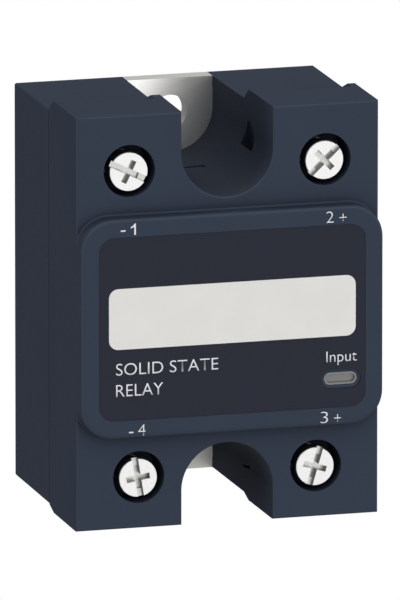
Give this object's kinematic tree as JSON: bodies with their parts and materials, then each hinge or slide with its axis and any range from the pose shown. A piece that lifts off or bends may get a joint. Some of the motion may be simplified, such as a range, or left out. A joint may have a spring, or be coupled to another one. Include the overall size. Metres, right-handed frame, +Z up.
{
  "type": "solid state relay",
  "caption": "Panel-mount solid state relay block with U-shaped mounting slots, screw clamp terminals in round wells, raised label panel and status light.",
  "frame": {"origin": "middle of the base plate's back face, which bolts to the heat sink", "axes": "+X right seen from the front, +Y to the back, out of the base plate, +Z up along the height"},
  "size_m": [0.045, 0.036, 0.0608],
  "materials": {
    "housing": "fine-textured dark blue-grey moulding",
    "film": "printed dark polyester film",
    "marking": "white write-on label",
    "light_pipe": "smoky clear plastic",
    "plate_metal": "nickel-plated, lightly brushed",
    "screw_steel": "bright nickel-plated steel",
    "frame_steel": "zinc-plated steel",
    "bar_copper": "tinned copper",
    "copper": "bare copper",
    "ceramic": "white alumina",
    "chip": "black moulding compound",
    "silicon": "diced silicon",
    "board": "green glass-epoxy",
    "resistor": "thick-film chip",
    "capacitor": "ceramic chip",
    "led": "milky lens",
    "gel": "soft translucent silicone"
  },
  "bodies": {
    "housing": {"base_plate": "plate_metal", "rear_case": "housing", "front_cover": "housing", "legend_film": "film", "marking_label": "marking", "led_light_pipe": "light_pipe", "status_led": "led", "circuit_board": "board", "optocoupler": "chip", "gate_driver": "chip", "input_resistors": "resistor", "input_diode": "chip", "current_regulator": "chip", "board_capacitors": "capacitor", "board_pins": "bar_copper", "ceramic_substrate": "ceramic", "substrate_copper": "copper", "power_transistors": "silicon", "source_clips": "copper", "surge_diode": "chip", "silicone_gel": "gel", "output_terminal_1": "bar_copper", "output_terminal_2": "bar_copper", "input_terminal_3": "bar_copper", "input_terminal_4": "bar_copper", "clamp_frame_1": "frame_steel", "clamp_frame_2": "frame_steel", "clamp_frame_3": "frame_steel", "clamp_frame_4": "frame_steel"},
    "clamp_1": {"clamp_plate_1": "frame_steel"},
    "screw_1": {"terminal_screw_1": "screw_steel"},
    "clamp_2": {"clamp_plate_2": "frame_steel"},
    "screw_2": {"terminal_screw_2": "screw_steel"},
    "clamp_3": {"clamp_plate_3": "frame_steel"},
    "screw_3": {"terminal_screw_3": "screw_steel"},
    "clamp_4": {"clamp_plate_4": "frame_steel"},
    "screw_4": {"terminal_screw_4": "screw_steel"}
  },
  "joints": [
    {"name": "clamp_1_travel", "type": "slide", "parent": "housing", "child": "clamp_1", "axis": [0, 1, 0], "range_m": [0, 0.0035]},
    {"name": "screw_1_turn", "type": "hinge", "parent": "clamp_1", "child": "screw_1", "pos_m": [-0.01455, -0.03, 0.02248], "axis": [0, 1, 0], "range_deg": [0, 1800]},
    {"name": "clamp_2_travel", "type": "slide", "parent": "housing", "child": "clamp_2", "axis": [0, 1, 0], "range_m": [0, 0.0035]},
    {"name": "screw_2_turn", "type": "hinge", "parent": "clamp_2", "child": "screw_2", "pos_m": [0.01455, -0.03, 0.02248], "axis": [0, 1, 0], "range_deg": [0, 1800]},
    {"name": "clamp_3_travel", "type": "slide", "parent": "housing", "child": "clamp_3", "axis": [0, 1, 0], "range_m": [0, 0.0035]},
    {"name": "screw_3_turn", "type": "hinge", "parent": "clamp_3", "child": "screw_3", "pos_m": [0.0132, -0.03, -0.02253], "axis": [0, 1, 0], "range_deg": [0, 1800]},
    {"name": "clamp_4_travel", "type": "slide", "parent": "housing", "child": "clamp_4", "axis": [0, 1, 0], "range_m": [0, 0.0035]},
    {"name": "screw_4_turn", "type": "hinge", "parent": "clamp_4", "child": "screw_4", "pos_m": [-0.0132, -0.03, -0.02253], "axis": [0, 1, 0], "range_deg": [0, 1800]}
  ],
  "couplings": [
    {"joint": "screw_1_turn", "follows": "clamp_1_travel", "rad_per_m": 8976},
    {"joint": "screw_2_turn", "follows": "clamp_2_travel", "rad_per_m": 8976},
    {"joint": "screw_3_turn", "follows": "clamp_3_travel", "rad_per_m": 8976},
    {"joint": "screw_4_turn", "follows": "clamp_4_travel", "rad_per_m": 8976}
  ]
}
